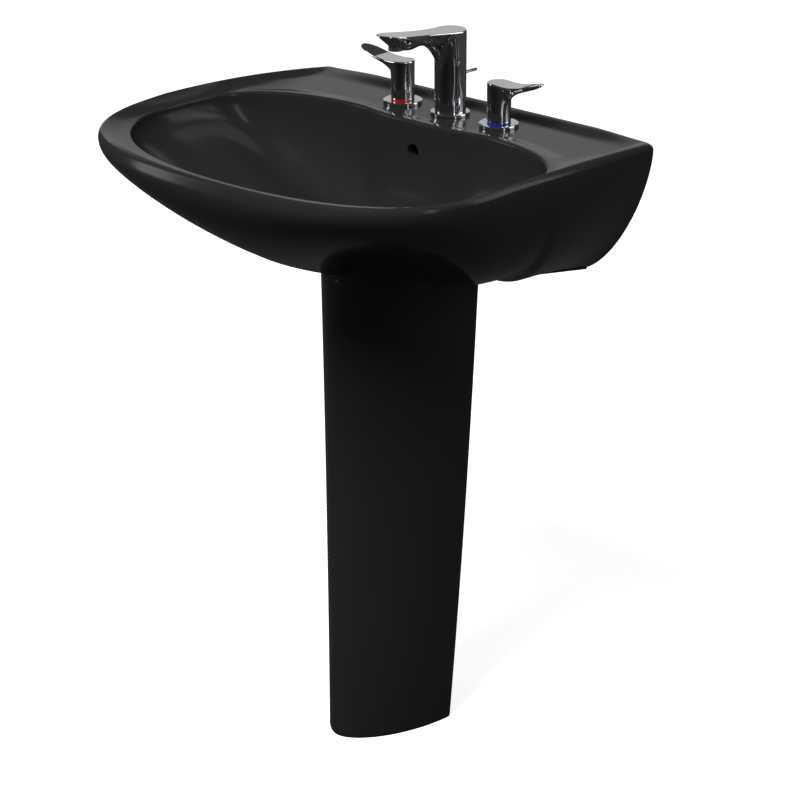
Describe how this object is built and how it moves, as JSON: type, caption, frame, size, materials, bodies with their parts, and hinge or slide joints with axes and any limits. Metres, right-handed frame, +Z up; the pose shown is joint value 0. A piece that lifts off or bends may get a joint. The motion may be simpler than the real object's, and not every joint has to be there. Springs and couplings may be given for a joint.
{
  "type": "pedestal sink",
  "caption": "Pedestal lavatory with a dished oval bowl, a raised rear deck, two lever handles, a beaked spout, a lift rod and a pop-up drain.",
  "frame": {"origin": "on the floor, on the centre plane, halfway between the front of the rim and the wall", "axes": "+X to the right as a user stands, +Y back to the wall, +Z up"},
  "size_m": [0.644, 0.546, 1.0028],
  "materials": {
    "black_glaze": "high gloss",
    "chrome_plate": "polished",
    "raw_brass": "machined",
    "plain_steel": "brushed",
    "black_rubber": "matt",
    "dark_plastic": "satin",
    "red_plastic": "gloss",
    "blue_plastic": "gloss"
  },
  "bodies": {
    "basin_and_pedestal": {"basin": "black_glaze", "pedestal": "black_glaze", "spout_body": "chrome_plate", "spout_flange": "chrome_plate", "aerator": "dark_plastic", "spout_shank": "raw_brass", "spout_washer": "black_rubber", "spout_nut": "raw_brass", "mixing_tee": "raw_brass", "hot_index_ring": "red_plastic", "hot_flange": "chrome_plate", "hot_valve_body": "raw_brass", "cold_index_ring": "blue_plastic", "cold_flange": "chrome_plate", "cold_valve_body": "raw_brass", "valve_washers": "black_rubber", "valve_nuts": "raw_brass", "bridge_tubes": "raw_brass", "bridge_nuts": "raw_brass", "pivot_nut": "chrome_plate", "drain_flange": "chrome_plate", "drain_body": "chrome_plate", "drain_gasket": "black_rubber", "drain_locknut": "raw_brass", "tailpiece": "chrome_plate", "tailpiece_nut": "chrome_plate"},
    "hot_lever": {"hot_handle": "chrome_plate", "hot_set_screw": "plain_steel", "hot_stem": "raw_brass"},
    "cold_lever": {"cold_handle": "chrome_plate", "cold_set_screw": "plain_steel", "cold_stem": "raw_brass"},
    "lift": {"lift_rod": "chrome_plate", "clevis_strap": "plain_steel", "clevis_screw": "plain_steel", "spring_clip": "plain_steel"},
    "pivot": {"pivot_rod": "plain_steel"},
    "stopper": {"stopper": "chrome_plate", "stopper_seal": "black_rubber"}
  },
  "joints": [
    {"name": "hot_turn", "type": "hinge", "parent": "basin_and_pedestal", "child": "hot_lever", "pos_m": [-0.088, 0.202, 0.9], "axis": [0, 0, 1], "range_deg": [0, 90]},
    {"name": "cold_turn", "type": "hinge", "parent": "basin_and_pedestal", "child": "cold_lever", "pos_m": [0.088, 0.202, 0.9], "axis": [0, 0, -1], "range_deg": [0, 90]},
    {"name": "lift_slide", "type": "slide", "parent": "basin_and_pedestal", "child": "lift", "axis": [0, 0, 1], "range_m": [0, 0.022]},
    {"name": "pivot_tilt", "type": "hinge", "parent": "basin_and_pedestal", "child": "pivot", "pos_m": [0, 0.082, 0.656], "axis": [1, 0, 0], "range_deg": [0, 9.3]},
    {"name": "stopper_slide", "type": "slide", "parent": "basin_and_pedestal", "child": "stopper", "axis": [0, 0, -1], "range_m": [0, 0.0049]}
  ],
  "couplings": [
    {"joint": "pivot_tilt", "follows": "lift_slide", "rad_per_m": 7.326},
    {"joint": "stopper_slide", "follows": "lift_slide", "ratio": 0.21978}
  ]
}
